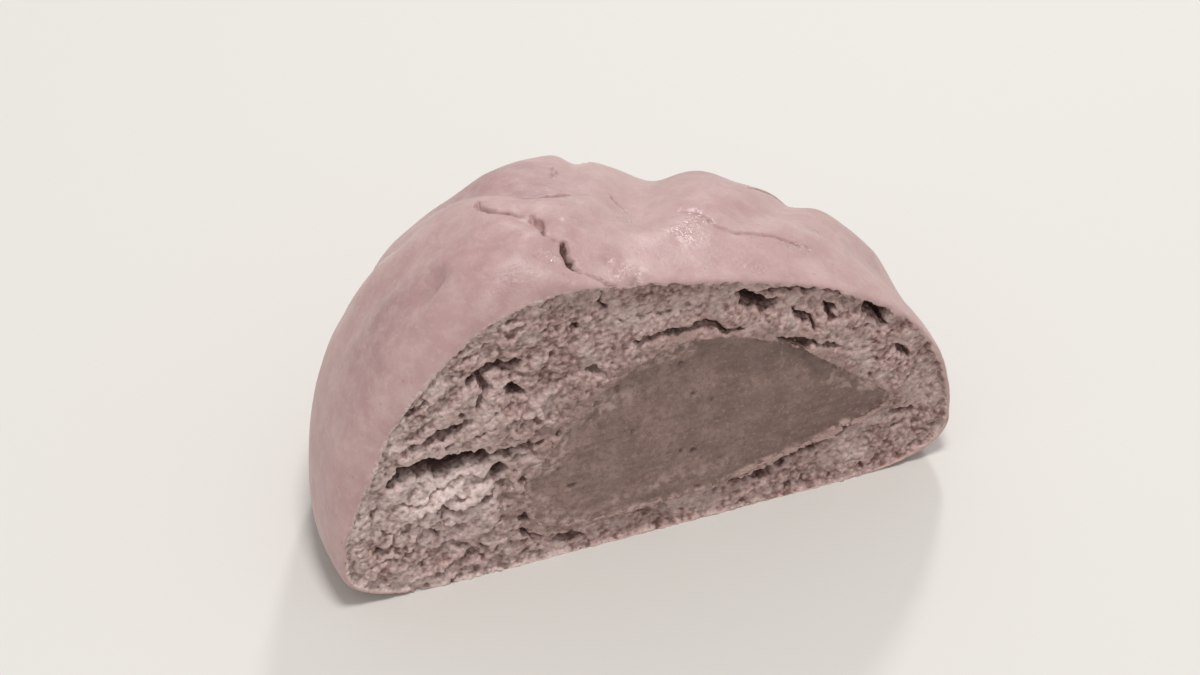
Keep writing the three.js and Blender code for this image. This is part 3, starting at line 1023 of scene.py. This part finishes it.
# Its flat layout: the cut face below, and the rest wound round a roll above it.
ROOMY = 1.1  # the square is this much longer than the paste
paste_span = ROOMY * (paste_high.x - paste_low.x)
ROLL_FOOT, ROLL_HEIGHT, FACING_OUT = 0.6, 0.39, -0.3
cut_face = face_values(paste, "normal", 3)[:, 1] < FACING_OUT
across = (p[:, [0, 2]] - (paste_low.x - MM, paste_low.z - MM)) / paste_span * (1 - 2 * MARGIN) + MARGIN
turned = np.arctan2(p[:, 1] - CUT_Y, p[:, 2] - POCKET_Z) / (2 * math.pi) + 0.5
wound = np.column_stack([(p[:, 0] - paste_low.x + MM) / paste_span, ROLL_FOOT + ROLL_HEIGHT * turned])
unwrap(paste, [(cut_face, across), (~cut_face, wound)])

# The deepest paste colour is painted shade, darker towards the right end.
PASTE, PASTE_DARK, PASTE_SHADE = (0.335, 0.222, 0.19, 1), (0.205, 0.128, 0.107, 1), (0.15, 0.088, 0.073, 1)
PASTE_STREAK, PASTE_SPECK = (0.32, 0.225, 0.195, 1), (0.42, 0.30, 0.265, 1)
PASTE_GRIT, STUCK_CRUMB = (0.14, 0.085, 0.07, 1), (0.50, 0.35, 0.315, 1)
STREAK_DRAW, STREAK_SIZE = (0.08, 0.08, 1), 0.8 * MM  # drawn out along the knife's stroke

smooth_paste = bpy.data.materials.new("smooth paste")
tree, shader = tree_of(smooth_paste)
drawn_out = node(tree, "ShaderNodeMapping", {"Vector": where(tree), "Scale": STREAK_DRAW})["Vector"]
streaks = {"Vector": drawn_out, "Scale": 1 / STREAK_SIZE, "Detail": 3}
streak = node(tree, "ShaderNodeTexNoise", streaks)["Fac"]
along = node(tree, "ShaderNodeSeparateXYZ", {"Vector": where(tree)})["X"]
grit = noise(tree, 0.8, 3, 0.6)
crumbs = maths(tree, "MULTIPLY", attribute(tree, "rim"), cloudy(tree, 1.3, 2, 0.55, 0.45, 0.62))
paste_coats = [
    (cloudy(tree, 5, 6, 0.72, 0.4, 0.62), PASTE),
    (mapped(tree, streak, 0.4, 0.7, 0, 0.3), PASTE_STREAK),
    # painted shade: the paste darkens towards its right end
    (mapped(tree, along, -10 * MM, 38 * MM, 0, 0.5), PASTE_SHADE),
    (cloudy(tree, 0.7, 3, 0.7, 0.55, 0.68, 0.5), PASTE_SPECK),
    (mapped(tree, grit, 0.47, 0.7, 0, 0.62), PASTE_GRIT),
    (crumbs, STUCK_CRUMB),
]
lead(tree, coated(tree, PASTE_DARK, paste_coats), shader.inputs["Base Color"])
lead(tree, mapped(tree, noise(tree, 3, 2, 0.55), 0.3, 0.7, 0.45, 0.65), shader.inputs["Roughness"])
drawn = bumped(tree, streak, 0.15, 0.4)
lead(tree, bumped(tree, grit, 0.22, 0.5, drawn), shader.inputs["Normal"])
paste.data.materials.clear()
paste.data.materials.append(smooth_paste)
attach(paste, "root")
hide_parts("paste_filling")


# ---- Table, light and camera ----
# A plain pale table top under soft studio lamps: a main one overhead, one behind that gives the skin its
# sheen, and a low one on the left that lights the side of the dough.
TABLE_HALF, TABLE_PALE, TABLE_ROUGH = 2, (0.69, 0.67, 0.635, 1), 0.6
LAMPS = [
    # name, place in metres, size, power, colour; each faces the bun
    ("overhead", (0.0, -0.3, 1.6), 0.4, 14, (1, 0.98, 0.96)),
    ("behind", (0.6, 1.05, 0.85), 0.16, 5.5, (1, 1, 1)),
    ("left", (-1.2, -0.1, 0.1), 0.4, 1.3, (1, 0.98, 0.96)),
]
ROOM_LIGHT = 0.52
AZIMUTH, ELEVATION, DISTANCE, LENS = math.radians(-22), math.radians(44.1), 0.7937, 158
STOOD_OVER = Vector((13.1 * MM, -14.65 * MM, 0))  # the place on the table that the camera's distance is from
AIM = Vector((0, -4 * MM, 20 * MM))
NEAREST_SEEN = 0.01

bm = bmesh.new()
bmesh.ops.create_grid(bm, x_segments=1, y_segments=1, size=TABLE_HALF)
table = new_piece("table_top", bm)
pale = bpy.data.materials.new("pale table")
pale.use_nodes = True
shader = pale.node_tree.nodes["Principled BSDF"]
shader.inputs["Base Color"].default_value = TABLE_PALE
shader.inputs["Roughness"].default_value = TABLE_ROUGH
table.data.materials.append(pale)

for name, place, size, power, colour in LAMPS:
    lamp = bpy.data.lights.new(name, "AREA")
    lamp.shape = "DISK"
    lamp.size = size
    lamp.energy = power
    lamp.color = colour
    holder = bpy.data.objects.new(name, lamp)
    holder.location = place
    holder.rotation_euler = Vector(place).to_track_quat("Z", "Y").to_euler()
    bpy.context.scene.collection.objects.link(holder)

studio = bpy.data.worlds.new("studio")
bpy.context.scene.world = studio
studio.use_nodes = True
room = studio.node_tree.nodes["Background"]
room.inputs["Color"].default_value = (1, 1, 1, 1)
room.inputs["Strength"].default_value = ROOM_LIGHT
bpy.context.scene.view_settings.view_transform = "Standard"

back = Vector((math.sin(AZIMUTH), -math.cos(AZIMUTH), math.tan(ELEVATION))).normalized()
camera = bpy.data.objects.new("camera", bpy.data.cameras.new("camera"))
bpy.context.scene.collection.objects.link(camera)
camera.location = STOOD_OVER + back * DISTANCE
camera.rotation_euler = (camera.location - AIM).to_track_quat("Z", "Y").to_euler()
camera.data.lens = LENS
camera.data.clip_start = NEAREST_SEEN
bpy.context.scene.camera = camera
